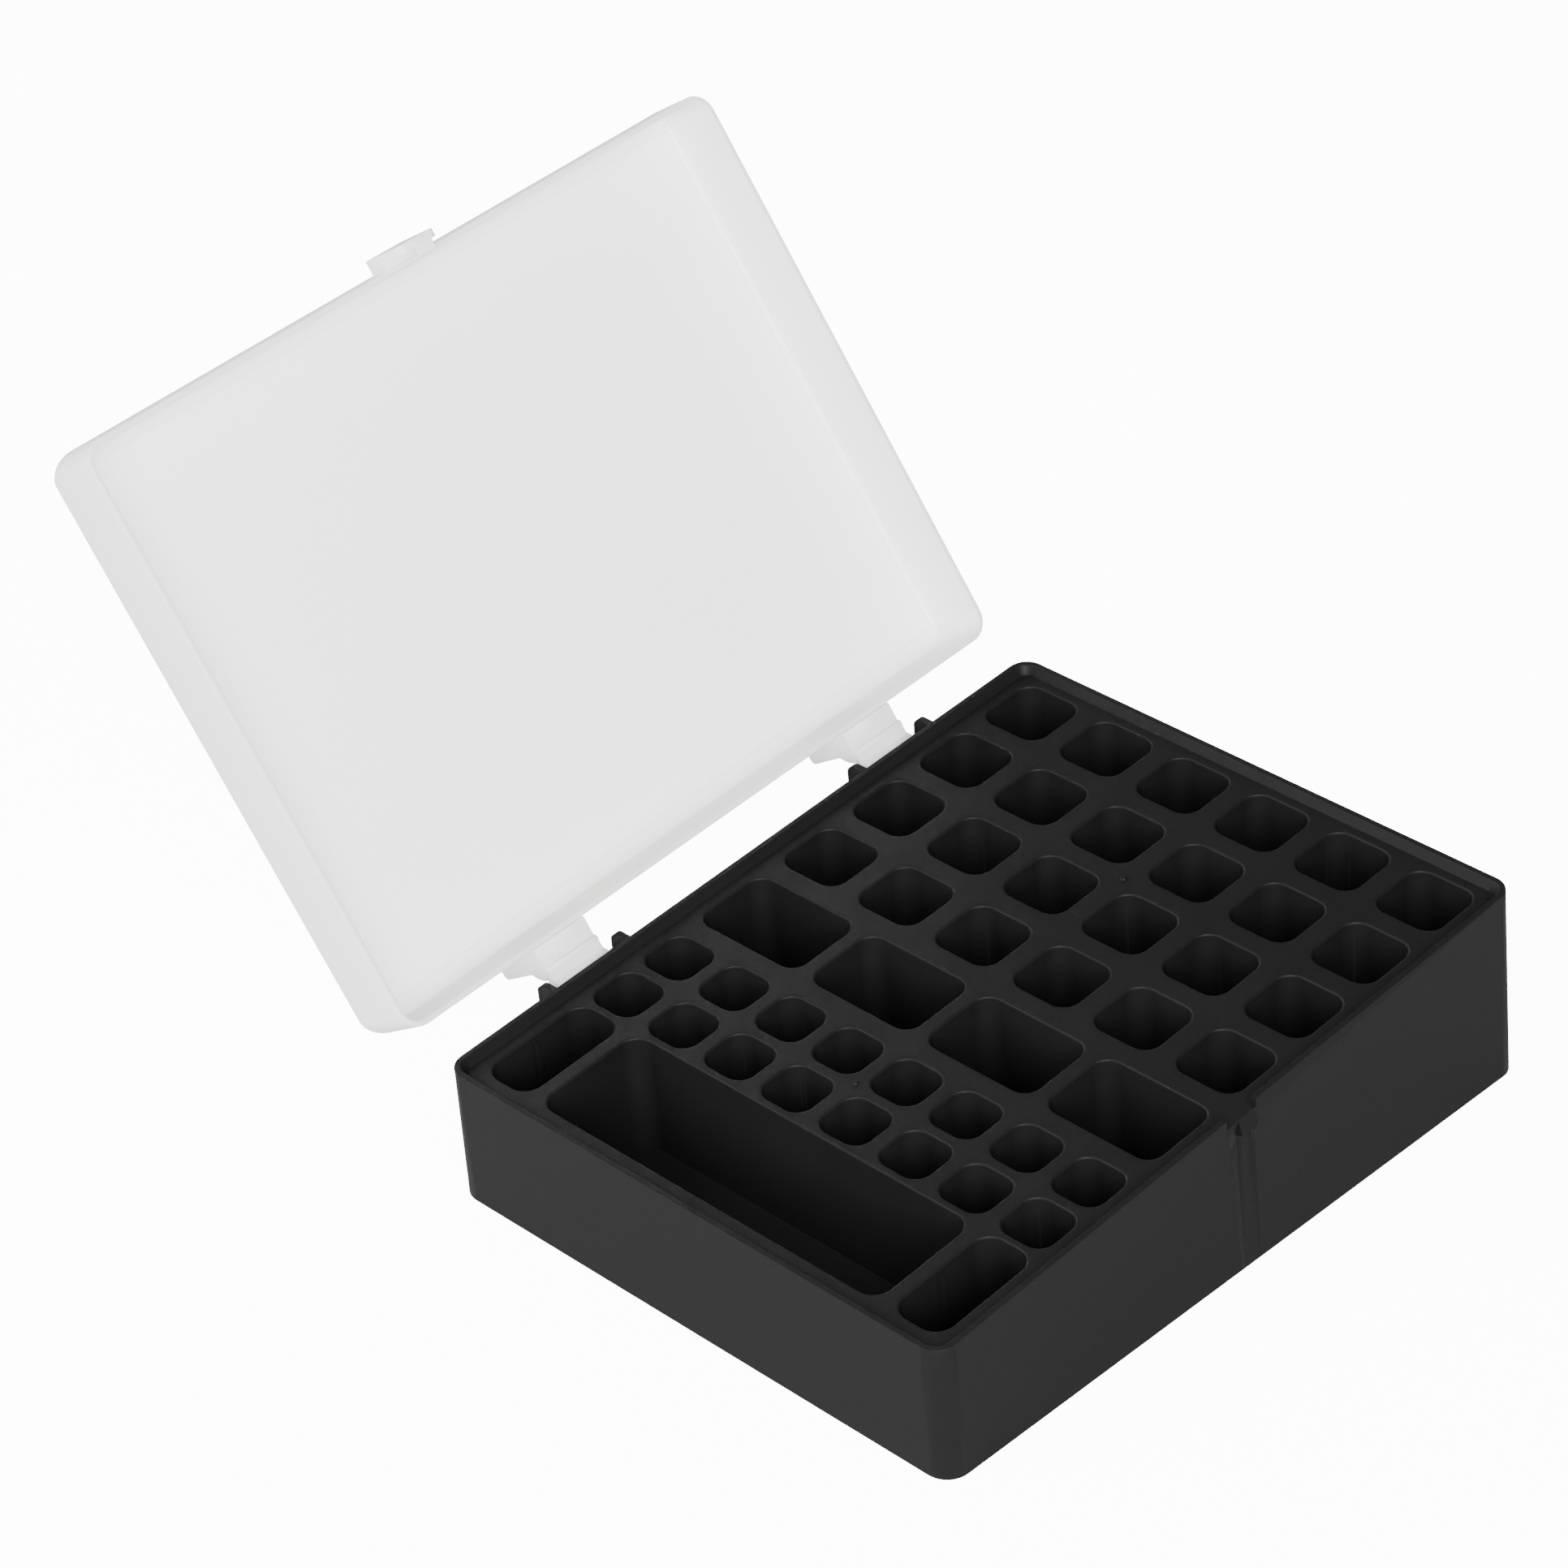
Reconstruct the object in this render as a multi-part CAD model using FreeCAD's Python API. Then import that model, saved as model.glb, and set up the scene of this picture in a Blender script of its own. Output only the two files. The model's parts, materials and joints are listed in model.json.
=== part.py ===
import FreeCAD, Part
import math
import os

from FreeCAD import Vector

# Battery case: a black moulded tray whose pockets open through one flat deck, and a shallow
# frosted lid hinged at the back. All lengths are millimetres and all angles degrees.
#
# The pieces are drawn in the deck frame: the deck's top face is z = 0, its middle is the origin,
# +X runs towards the tray's high end and +Y towards the hinges, and the lid lies closed.
# place_tray and place_lid then set them as the case stands: the tray is a wedge, so its deck
# slopes down towards -X, and the lid is swung open onto its stop. The part's own origin is on
# the surface it stands on, below the middle of the rim's front edge.

# ---- tray: wall, rim and deck ----
LOW_WALL = 29.7            # deck to foot at the low end
HIGH_WALL = 44.3           # deck to foot at the high end
CORNER_RADIUS = 4.4        # upright corners, at the rim
WALL_DRAFT = 1.4           # the walls lean out by this going down
SKIRT_WALL = 1.6
RIM_HEIGHT = 2.0           # rim above the deck
RIM_LAND = 1.2             # flat top of the rim
RIM_BASE = 2.4             # rim thickness where it meets the deck
DECK_THICKNESS = 1.5

# ---- tray: pockets ----
CUP_WALL = 1.2
CUP_FLOOR = 1.2
MOUTH_ROUND = 0.5          # rounded edge of each pocket's mouth
AA_OPENING = 15.4          # square mouths for 14.5 mm cells
AA_PITCH = 20.6
AA_COLUMNS = 4
AA_ROWS = 6
AA_RADIUS = 3.8
AA_DEPTH = 34.5
AAA_OPENING = 11.7         # square mouths for 10.5 mm cells
AAA_PITCH = 14.3           # between the two columns
AAA_ROWS = 8
AAA_RADIUS = 3.6
AAA_DEPTH = 29.0
BLOCK_LENGTH = 18.55       # along X, for 17.5 x 26.5 mm block batteries
BLOCK_WIDTH = 26.9         # along Y
BLOCK_ROWS = 4
BLOCK_RADIUS = 3.6
BLOCK_DEPTH = 33.0
BAY_LENGTH = 26.4          # along X, of the long bay and the two end slots beside it
BAY_RADIUS = 4.0
BAY_DEPTH = 28.5
SLOT_WIDTH = 11.8          # along Y
NIB_WIDTH = 1.2
NIB_DEPTH = 0.9            # how far a nib stands out of the slot's side
NIB_DROP = 1.5             # top of a nib below the deck

# ---- tray: land between and around the pockets ----
LOW_END_LAND = 5.5         # case end to the bay
BAY_AAA_LAND = 1.75
AAA_BLOCK_LAND = 5.05
BLOCK_AA_LAND = 5.2
HIGH_END_LAND = 4.65       # AA pockets to the case end
SIDE_LAND = 5.05           # pockets to the front and the back of the case
SLOT_BAY_LAND = 3.5

# ---- hinge: ears, bars and feet on the tray, arms on the lid ----
HINGE_OFFSET = 45.1        # each hinge's middle from the case's middle
AXIS_OUT = 5.6             # hinge axis behind the rim's back face
AXIS_UP = 1.45             # hinge axis above the deck
BEAD_RADIUS = 0.7          # round edge of the foot that the arm turns on
BEAD_CLEARANCE = 0.05
ARM_WIDTH = 13.9
ARM_HEIGHT = 14.65         # above the lid's rim
ARM_TOP_ROUND = 1.2
ARM_UNDERSIDE = 0.25       # arm's underside above the axis, lid closed
HEEL_RADIUS = 2.4          # reach of the arm's stop face from the axis
HEEL_WAIST = 5.6           # height above the axis where the heel meets the arm's back
HEEL_BULGE = 0.4           # how far the heel's back swells out
STOP_GAP = 0.3             # between arm and foot when the lid stands open
NECK_AT_BEAD = 200.0       # direction from the bead's axis where the foot's neck leaves it
NECK_AT_CLIP = 70.0        # direction from the bar's axis where the neck meets the clip
LID_OPENING = 124.0        # closed to fully open
EAR_THICKNESS = 1.6
EAR_SIDE_GAP = 2.5         # arm to ear
EAR_ROUND = 2.0
EAR_DROP = 8.5             # lower corner of an ear, below the deck
EAR_CHAMFER = 3.0          # how much higher the ear's outer lower corner is
BAR_RADIUS = 1.0
BAR_OUT = 2.95             # bar axis behind the rim's back face
BAR_DOWN = 2.4             # bar axis below the deck
BAR_MARGIN = 0.2           # ear beyond the bar
CLIP_CLEARANCE = 0.05      # clip bore around the bar
CLIP_WALL = 1.2
CLIP_MOUTH = 80.0          # angle of the clip's open side

# ---- lid ----
LID_OVERHANG = 0.6         # lid beyond the rim, front and back
LID_GAP = 0.3              # closed lid above the rim
LID_DEPTH = 16.7
LID_WALL = 1.2
LID_CORNER = 5.0           # upright corners
LID_LONG_ROUND = 4.2       # top edges along X
LID_END_ROUND = 1.6        # top edges along Y

# ---- latch: channel and keeper in the front wall, tab on the lid ----
NOTCH_WIDTH = 8.6          # gap in the rim for the hook, filled below the deck by the keeper
NOTCH_BACKING = 1.4        # extra wall behind the notch
BACKING_SIDE = 1.7         # backing beyond the notch, each side
FLUTE_LEFT = 4.2           # flute's left edge from the middle of the case, at the keeper
FLUTE_VALLEY = 0.6         # flute's deepest line left of the middle, at the keeper
FLUTE_DEPTH = 0.95         # of that line below the keeper, running out at the foot
FLUTE_DECK_SHARE = 0.3     # share of the depth that is there at the deck's edge
FLUTE_RISE = 0.8           # width of the short slope right of the deepest line
FLUTE_FLOOR = 0.65         # depth of the level floor
FLUTE_STEP = 0.45          # width of the ramp at the right edge
FLUTE_RIGHT = 3.45         # flute's right edge from the middle
FLUTE_FOOT_LEFT = 2.2      # left edge at the foot, left of the middle
FLUTE_FOOT_VALLEY = 1.85   # deepest line at the foot, left of the middle
FLUTE_MOUTH = 5.0          # how far in front of the face the flute is cut from
KEEPER_LEFT = 0.9          # ridge's left end from the middle
KEEPER_RIGHT = 3.75        # ridge's right end from the middle
KEEPER_CREST = 0.7         # keeper ridge in front of the front face
KEEPER_CREST_DOWN = 3.6
KEEPER_HOLLOW_DOWN = 4.4   # where the ridge's underside meets the flute
KEEPER_DOWN = 5.3          # keeper's lower end
TAB_WIDTH = 10.0
TAB_PROUD = 3.4            # tab's face beyond the lid's front wall
TAB_RISE = 7.0             # tab's upper end above the lid's rim
TAB_DROP = 7.3             # tab's lower end below the lid's rim
TAB_THICKNESS = 1.8        # of the free part below the rim
TAB_CORNER = 1.8
HOOK_CLEARANCE = 0.35      # closed hook to the keeper's ridge and to the flute's step
HOOK_REACH = 0.6           # hook's tip behind the ridge's crest
HOOK_TIP = 0.4             # thickness of the hook's tip

# ---- worked out from the sizes above ----
ROW_RUN = (AA_ROWS - 1) * AA_PITCH + AA_OPENING
CASE_WIDTH = ROW_RUN + 2 * SIDE_LAND
AA_RUN = (AA_COLUMNS - 1) * AA_PITCH + AA_OPENING
AAA_RUN = AAA_PITCH + AAA_OPENING
CASE_LENGTH = (LOW_END_LAND + BAY_LENGTH + BAY_AAA_LAND + AAA_RUN + AAA_BLOCK_LAND
               + BLOCK_LENGTH + BLOCK_AA_LAND + AA_RUN + HIGH_END_LAND)
HALF_LENGTH = CASE_LENGTH / 2
HALF_WIDTH = CASE_WIDTH / 2
SLOPE = math.degrees(math.atan((HIGH_WALL - LOW_WALL) / CASE_LENGTH))
DECK_HEIGHT = (LOW_WALL + HIGH_WALL) / 2
BELOW_ALL = 1.2 * HIGH_WALL

BAY_LEFT = -HALF_LENGTH + LOW_END_LAND
AAA_LEFT = BAY_LEFT + BAY_LENGTH + BAY_AAA_LAND
BLOCK_LEFT = AAA_LEFT + AAA_RUN + AAA_BLOCK_LAND
AA_LEFT = BLOCK_LEFT + BLOCK_LENGTH + BLOCK_AA_LAND
SLOT_CENTRE = (ROW_RUN - SLOT_WIDTH) / 2
BAY_WIDTH = ROW_RUN - 2 * (SLOT_WIDTH + SLOT_BAY_LAND)

AXIS_Y = HALF_WIDTH + AXIS_OUT
AXIS_Z = AXIS_UP
ARM_DEPTH = AXIS_OUT - LID_OVERHANG
BAR_Y = HALF_WIDTH + BAR_OUT
BAR_Z = -BAR_DOWN
CLIP_RADIUS = BAR_RADIUS + CLIP_CLEARANCE + CLIP_WALL
EAR_OUT = BAR_OUT + BAR_RADIUS + BAR_MARGIN
EAR_INNER = ARM_WIDTH / 2 + EAR_SIDE_GAP
LID_RIM_Z = RIM_HEIGHT + LID_GAP
LID_TOP_Z = LID_RIM_Z + LID_DEPTH
LID_HALF_WIDTH = HALF_WIDTH + LID_OVERHANG


# ---- drawing helpers ----
SAME_PLACE = 1e-4          # two measures this close are the same


def solid_of(wire, along):
    return Part.Face(wire).extrude(along)


def yz_prism(points, x_start, x_length):
    """A closed outline of (y, z) points, run along X."""
    corners = [Vector(x_start, y, z) for y, z in points]
    return solid_of(Part.makePolygon(corners + corners[:1]), Vector(x_length, 0, 0))


def box(x0, x1, y0, y1, z0, z1):
    return Part.makeBox(x1 - x0, y1 - y0, z1 - z0, Vector(x0, y0, z0))


def rounded_wire(half_x, half_y, radius, z, centre=(0.0, 0.0)):
    """A rectangle with rounded corners at height z."""
    plate = box(centre[0] - half_x, centre[0] + half_x, centre[1] - half_y, centre[1] + half_y, z, z + 1)
    upright = [e for e in plate.Edges if e.BoundBox.ZLength > SAME_PLACE]
    rounded = plate.makeFillet(radius, upright)
    floor = min(rounded.Faces, key=lambda face: face.CenterOfMass.z)
    return floor.OuterWire


def rounded_prism(half_x, half_y, radius, z0, z1, centre=(0.0, 0.0)):
    """An upright block with rounded corners."""
    return solid_of(rounded_wire(half_x, half_y, radius, z0, centre), Vector(0, 0, z1 - z0))


def rounded_taper(low, high, z0, z1):
    """A block between two rounded rectangles, each given as (half_x, half_y, radius)."""
    return Part.makeLoft([rounded_wire(*low, z0), rounded_wire(*high, z1)], True, True)


def x_cylinder(radius, x_start, x_length, y, z):
    return Part.makeCylinder(radius, x_length, Vector(x_start, y, z), Vector(1, 0, 0))


def round_edges(shape, radius, chosen):
    return shape.makeFillet(radius, [e for e in shape.Edges if chosen(e)])


def lies_at(edge, z):
    return abs(edge.BoundBox.ZMin - z) < SAME_PLACE and abs(edge.BoundBox.ZMax - z) < SAME_PLACE


def place_tray(shape):
    """Turn the deck frame onto the slope and stand the tray on its foot."""
    placed = shape.copy()
    placed.rotate(Vector(0, 0, 0), Vector(0, 1, 0), -SLOPE)
    slope = math.radians(SLOPE)
    placed.translate(Vector(-DECK_HEIGHT * math.sin(slope), HALF_WIDTH, DECK_HEIGHT * math.cos(slope)))
    return placed


def place_lid(shape):
    """Swing a closed lid piece open about the hinge axis, then place it as the tray."""
    opened = shape.copy()
    opened.rotate(Vector(0, AXIS_Y, AXIS_Z), Vector(1, 0, 0), -LID_OPENING)
    return place_tray(opened)


# ---- tray ----
def wall_outline(z, inset):
    """Half sizes and corner radius of the drafted wall at height z, drawn in by inset."""
    lean = (RIM_HEIGHT - z) * math.tan(math.radians(WALL_DRAFT))
    return (HALF_LENGTH + lean - inset, HALF_WIDTH + lean - inset, CORNER_RADIUS + lean - inset)


def tray_block():
    """The whole outside of the tray as one solid block, rim to below the foot."""
    return rounded_taper(wall_outline(-BELOW_ALL, 0), wall_outline(RIM_HEIGHT, 0), -BELOW_ALL, RIM_HEIGHT)


def deck_seat():
    """The space inside the rim that the deck fills."""
    half_x = HALF_LENGTH - RIM_BASE
    half_y = HALF_WIDTH - RIM_BASE
    return rounded_prism(half_x, half_y, CORNER_RADIUS - RIM_BASE, -DECK_THICKNESS, 0)


def front_face(z):
    """Y of the leaning front face at height z."""
    return -HALF_WIDTH - (RIM_HEIGHT - z) * math.tan(math.radians(WALL_DRAFT))


def flute_section(z, left, valley, share):
    """Outline of the flute at height z: a hollowing slope, a short rise, a floor and a ramp back out."""
    face = front_face(z)
    mouth = face - FLUTE_MOUTH
    slope = [(left + t * (valley - left), t * t * FLUTE_DEPTH) for t in (0, 0.25, 0.5, 0.75, 1)]
    floor = [(valley + FLUTE_RISE, FLUTE_FLOOR), (FLUTE_RIGHT - FLUTE_STEP, FLUTE_FLOOR), (FLUTE_RIGHT, 0)]
    cut = [(x, face + share * depth) for x, depth in slope + floor]
    corners = [(left, mouth)] + cut + [(FLUTE_RIGHT, mouth)]
    points = [Vector(x, y, z) for x, y in corners]
    return Part.makePolygon(points + points[:1])


def flute_at_keeper(share, z):
    return flute_section(z, -FLUTE_LEFT, -FLUTE_VALLEY, share)


def flute_below_keeper():
    """The shallow flute from the keeper down, running out at the foot."""
    foot = flute_section(-DECK_HEIGHT, -FLUTE_FOOT_LEFT, -FLUTE_FOOT_VALLEY, 0)
    return Part.makeLoft([flute_at_keeper(1, -KEEPER_DOWN), foot], True, True)


def keeper_block():
    """What fills the notch below the deck, its front flush with the case's front."""
    half = NOTCH_WIDTH / 2
    back = -HALF_WIDTH + SKIRT_WALL + NOTCH_BACKING
    seat = -HALF_WIDTH + RIM_BASE
    outline = [
        (front_face(0), 0),
        (seat, 0),
        (seat, -DECK_THICKNESS),
        (back, -DECK_THICKNESS),
        (back, -KEEPER_DOWN),
        (front_face(-KEEPER_DOWN), -KEEPER_DOWN),
    ]
    return yz_prism(outline, -half, NOTCH_WIDTH)


def keeper_crest():
    """(y, z) of the ridge's crest and of the inner end of its underside."""
    crest = (front_face(-KEEPER_CREST_DOWN) - KEEPER_CREST, -KEEPER_CREST_DOWN)
    return crest, (front_face(-KEEPER_HOLLOW_DOWN) + FLUTE_DEPTH, -KEEPER_HOLLOW_DOWN)


def tray_skirt():
    top_inside = (HALF_LENGTH - RIM_LAND, HALF_WIDTH - RIM_LAND, CORNER_RADIUS - RIM_LAND)
    base_inside = (HALF_LENGTH - RIM_BASE, HALF_WIDTH - RIM_BASE, CORNER_RADIUS - RIM_BASE)
    above_deck = rounded_taper(base_inside, top_inside, 0, RIM_HEIGHT)
    low_inside = wall_outline(-BELOW_ALL, SKIRT_WALL)
    high_inside = wall_outline(-DECK_THICKNESS, SKIRT_WALL)
    below_deck = rounded_taper(low_inside, high_inside, -BELOW_ALL, -DECK_THICKNESS)
    backing_half = NOTCH_WIDTH / 2 + BACKING_SIDE
    backing_y = -HALF_WIDTH + SKIRT_WALL + NOTCH_BACKING
    backing = box(-backing_half, backing_half, -CASE_WIDTH, backing_y, -BELOW_ALL, -DECK_THICKNESS)
    below_deck = below_deck.cut(backing)
    half = NOTCH_WIDTH / 2
    notch = box(-half, half, -CASE_WIDTH, -HALF_WIDTH + RIM_BASE, -KEEPER_DOWN, 2 * RIM_HEIGHT)
    pocket = box(-half, half, -CASE_WIDTH, backing_y, -KEEPER_DOWN, -DECK_THICKNESS)
    shell = tray_block().cut([above_deck, deck_seat(), below_deck, notch, pocket, flute_below_keeper()])
    placed = place_tray(shell)
    reach = 2 * CASE_LENGTH
    return placed.cut(box(-reach, reach, -reach, reach, -reach, 0))


def latch_keeper():
    """The notch's filling with the top of the flute in it, and the ridge that the hook catches under."""
    flute = [flute_at_keeper(FLUTE_DECK_SHARE, 0), flute_at_keeper(1, -KEEPER_DOWN)]
    block = keeper_block().cut(Part.makeLoft(flute, True, True))
    crest, hollow = keeper_crest()
    inside = -HALF_WIDTH + SKIRT_WALL
    edge = front_face(0) + FLUTE_DECK_SHARE * FLUTE_FLOOR
    outline = [(inside, 0), (edge, 0), crest, hollow, (inside, hollow[1])]
    ridge = yz_prism(outline, -KEEPER_LEFT, KEEPER_LEFT + KEEPER_RIGHT)
    return place_tray(block.fuse(ridge).removeSplitter())


def cup(tile, centre, size, radius, depth, nibs=False):
    """One pocket: its tile of the deck, its walls and its floor.

    tile is (x0, x1, y0, y1) and size is the mouth along X and Y."""
    half_x, half_y = size[0] / 2, size[1] / 2
    flange = box(*tile, -DECK_THICKNESS, 0).common(deck_seat())
    body = rounded_prism(half_x + CUP_WALL, half_y + CUP_WALL, radius + CUP_WALL,
                         -depth - CUP_FLOOR, -DECK_THICKNESS, centre)
    body = body.common(box(*tile, -BELOW_ALL, 0))
    hollow = rounded_prism(half_x, half_y, radius, -depth, 0, centre)
    if nibs:
        for side in (-1, 1):
            face = centre[1] + side * half_y
            nib = box(centre[0] - NIB_WIDTH / 2, centre[0] + NIB_WIDTH / 2,
                      face - NIB_DEPTH, face + NIB_DEPTH, -BELOW_ALL, -NIB_DROP)
            hollow = hollow.cut(nib)
    pocket = flange.fuse(body).cut(hollow).removeSplitter()

    def around_mouth(edge):
        bound = edge.BoundBox
        inside_x = abs(bound.Center.x - centre[0]) < half_x + SAME_PLACE
        inside_y = abs(bound.Center.y - centre[1]) < half_y + SAME_PLACE
        return lies_at(edge, 0) and inside_x and inside_y

    return round_edges(pocket, MOUTH_ROUND, around_mouth)


def tile_rows(count, size):
    """Centres and tile limits of a column of pockets that fills the run from front to back."""
    pitch = (ROW_RUN - size) / (count - 1)
    rows = []
    for index in range(count):
        middle = (index - (count - 1) / 2) * pitch
        low = -HALF_WIDTH if index == 0 else middle - pitch / 2
        high = HALF_WIDTH if index == count - 1 else middle + pitch / 2
        rows.append((middle, low, high))
    return rows


BAY_AAA_LINE = AAA_LEFT - BAY_AAA_LAND / 2
AAA_BLOCK_LINE = BLOCK_LEFT - AAA_BLOCK_LAND / 2
BLOCK_AA_LINE = AA_LEFT - BLOCK_AA_LAND / 2


def aa_cups():
    cups = []
    for column in range(AA_COLUMNS):
        x = AA_LEFT + AA_OPENING / 2 + column * AA_PITCH
        left = BLOCK_AA_LINE if column == 0 else x - AA_PITCH / 2
        right = HALF_LENGTH if column == AA_COLUMNS - 1 else x + AA_PITCH / 2
        for y, low, high in tile_rows(AA_ROWS, AA_OPENING):
            cups.append(cup((left, right, low, high), (x, y), (AA_OPENING, AA_OPENING), AA_RADIUS, AA_DEPTH))
    return cups


def aaa_cups(rows):
    cups = []
    middle = AAA_LEFT + AAA_RUN / 2
    size = (AAA_OPENING, AAA_OPENING)
    for left, right, x in ((BAY_AAA_LINE, middle, middle - AAA_PITCH / 2),
                           (middle, AAA_BLOCK_LINE, middle + AAA_PITCH / 2)):
        for y, low, high in rows:
            cups.append(cup((left, right, low, high), (x, y), size, AAA_RADIUS, AAA_DEPTH))
    return cups


def block_cups():
    x = BLOCK_LEFT + BLOCK_LENGTH / 2
    size = (BLOCK_LENGTH, BLOCK_WIDTH)
    cups = []
    for y, low, high in tile_rows(BLOCK_ROWS, BLOCK_WIDTH):
        tile = (AAA_BLOCK_LINE, BLOCK_AA_LINE, low, high)
        cups.append(cup(tile, (x, y), size, BLOCK_RADIUS, BLOCK_DEPTH))
    return cups


def end_slot(side):
    x = BAY_LEFT + BAY_LENGTH / 2
    inner = side * (SLOT_CENTRE - SLOT_WIDTH / 2 - SLOT_BAY_LAND / 2)
    low, high = sorted((inner, side * HALF_WIDTH))
    tile = (-HALF_LENGTH, BAY_AAA_LINE, low, high)
    size = (BAY_LENGTH, SLOT_WIDTH)
    return cup(tile, (x, side * SLOT_CENTRE), size, BAY_RADIUS, BAY_DEPTH, nibs=True)


def long_bay():
    x = BAY_LEFT + BAY_LENGTH / 2
    line = BAY_WIDTH / 2 + SLOT_BAY_LAND / 2
    tile = (-HALF_LENGTH, BAY_AAA_LINE, -line, line)
    return cup(tile, (x, 0), (BAY_LENGTH, BAY_WIDTH), BAY_RADIUS, BAY_DEPTH)


# ---- hinge pieces ----
def ear(x_middle):
    outer = HALF_WIDTH + EAR_OUT
    inside = HALF_WIDTH - SKIRT_WALL / 2
    outline = [(inside, RIM_HEIGHT), (outer, RIM_HEIGHT), (outer, -EAR_DROP + EAR_CHAMFER),
               (HALF_WIDTH + RIM_LAND, -EAR_DROP), (inside, -EAR_DROP)]
    plate = yz_prism(outline, x_middle - EAR_THICKNESS / 2, EAR_THICKNESS)

    def top_corner(edge):
        bound = edge.BoundBox
        return abs(bound.YMin - outer) < SAME_PLACE and lies_at(edge, RIM_HEIGHT)

    return round_edges(plate, EAR_ROUND, top_corner).cut(tray_block())


def hinge_ears():
    ears = []
    for side in (-1, 1):
        for edge in (-1, 1):
            ears.append(ear(side * HINGE_OFFSET + edge * (EAR_INNER + EAR_THICKNESS / 2)))
    return ears


def hinge_bar(side):
    return x_cylinder(BAR_RADIUS, side * HINGE_OFFSET - EAR_INNER, 2 * EAR_INNER, BAR_Y, BAR_Z)


def polar(centre, radius, degrees):
    angle = math.radians(degrees)
    return (centre[0] + radius * math.cos(angle), centre[1] + radius * math.sin(angle))


def hinge_foot(side):
    """The strap's foot: a clip around the bar, a neck, and the round bead that the arm turns on."""
    x_start = side * HINGE_OFFSET - ARM_WIDTH / 2
    axis = (AXIS_Y, AXIS_Z)
    bar = (BAR_Y, BAR_Z)
    stop_y = AXIS_Y - STOP_GAP / 2
    outline = [
        polar(axis, BEAD_RADIUS, NECK_AT_BEAD),
        polar(bar, CLIP_RADIUS, NECK_AT_CLIP),
        bar,
        polar(bar, CLIP_RADIUS, 0),
        (stop_y, AXIS_Z - HEEL_RADIUS),
        (stop_y, AXIS_Z),
    ]
    neck = yz_prism(outline, x_start, ARM_WIDTH)
    ring = x_cylinder(CLIP_RADIUS, x_start, ARM_WIDTH, *bar)
    bead = x_cylinder(BEAD_RADIUS, x_start, ARM_WIDTH, *axis)
    bore = x_cylinder(BAR_RADIUS + CLIP_CLEARANCE, x_start, ARM_WIDTH, *bar)
    reach = 2 * CLIP_RADIUS
    mouth = yz_prism([bar, polar(bar, reach, -90 - CLIP_MOUTH / 2), polar(bar, reach, -90 + CLIP_MOUTH / 2)],
                     x_start, ARM_WIDTH)
    return ring.fuse([neck, bead]).cut([bore, mouth]).removeSplitter()


def hinge_arm(side):
    """The arm behind the lid's wall, closed: a square block that ends in a heel round the bead.

    The heel's flat end is the stop: it meets the foot's upright face when the lid stands open."""
    x_start = side * HINGE_OFFSET - ARM_WIDTH / 2
    stop_angle = LID_OPENING - 90
    turn = math.radians(stop_angle)
    offset = STOP_GAP / 2

    def on_stop(distance):
        return (AXIS_Y + distance * math.cos(turn) - offset * math.sin(turn),
                AXIS_Z + distance * math.sin(turn) + offset * math.cos(turn))

    underside = AXIS_Z + ARM_UNDERSIDE
    top = LID_RIM_Z + ARM_HEIGHT
    wall = AXIS_Y - ARM_DEPTH - LID_WALL / 2
    heel = on_stop(HEEL_RADIUS)
    waist = (AXIS_Y, AXIS_Z + HEEL_WAIST)
    bulge = polar(((heel[0] + waist[0]) / 2, (heel[1] + waist[1]) / 2), HEEL_BULGE, stop_angle)
    points = [(wall, top), (wall, LID_RIM_Z), (LID_HALF_WIDTH, LID_RIM_Z), (LID_HALF_WIDTH, underside),
              (AXIS_Y, underside), on_stop(BEAD_RADIUS / 2), heel]
    corners = [Vector(x_start, y, z) for y, z in points]
    edges = [Part.makeLine(a, b) for a, b in zip(corners, corners[1:])]
    waist_at = Vector(x_start, *waist)
    crown = Vector(x_start, AXIS_Y, top)
    edges.append(Part.Arc(corners[-1], Vector(x_start, *bulge), waist_at).toShape())
    edges.append(Part.makeLine(waist_at, crown))
    edges.append(Part.makeLine(crown, corners[0]))
    block = solid_of(Part.Wire(edges), Vector(ARM_WIDTH, 0, 0))

    def crown_edge(edge):
        bound = edge.BoundBox
        return abs(bound.YMin - AXIS_Y) < SAME_PLACE and lies_at(edge, top)

    block = round_edges(block, ARM_TOP_ROUND, crown_edge)
    groove = x_cylinder(BEAD_RADIUS + BEAD_CLEARANCE, x_start, ARM_WIDTH, AXIS_Y, AXIS_Z)
    return block.cut([groove, lid_block(0)])


# ---- lid ----
def top_rounded(half, radius, z0, z1, run, along_x):
    """A block with its two long top edges rounded, run along X or along Y."""
    block = box(-run, run, -half, half, z0, z1) if along_x else box(-half, half, -run, run, z0, z1)

    def long_top(edge):
        bound = edge.BoundBox
        length = bound.XLength if along_x else bound.YLength
        return lies_at(edge, z1) and length > run

    return round_edges(block, radius, long_top)


def lid_block(inset):
    """The lid's outside as one solid block, or its inside when drawn in by the wall."""
    half_x = HALF_LENGTH - inset
    half_y = LID_HALF_WIDTH - inset
    low = LID_RIM_Z - inset
    high = LID_TOP_Z - inset
    run = CASE_LENGTH
    upright = rounded_prism(half_x, half_y, LID_CORNER - inset, low, high)
    long_edges = top_rounded(half_y, LID_LONG_ROUND - inset, low, high, run, True)
    end_edges = top_rounded(half_x, LID_END_ROUND - inset, low, high, run, False)
    return upright.common(long_edges).common(end_edges)


def lid_shell():
    return lid_block(0).cut(lid_block(LID_WALL))


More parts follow.
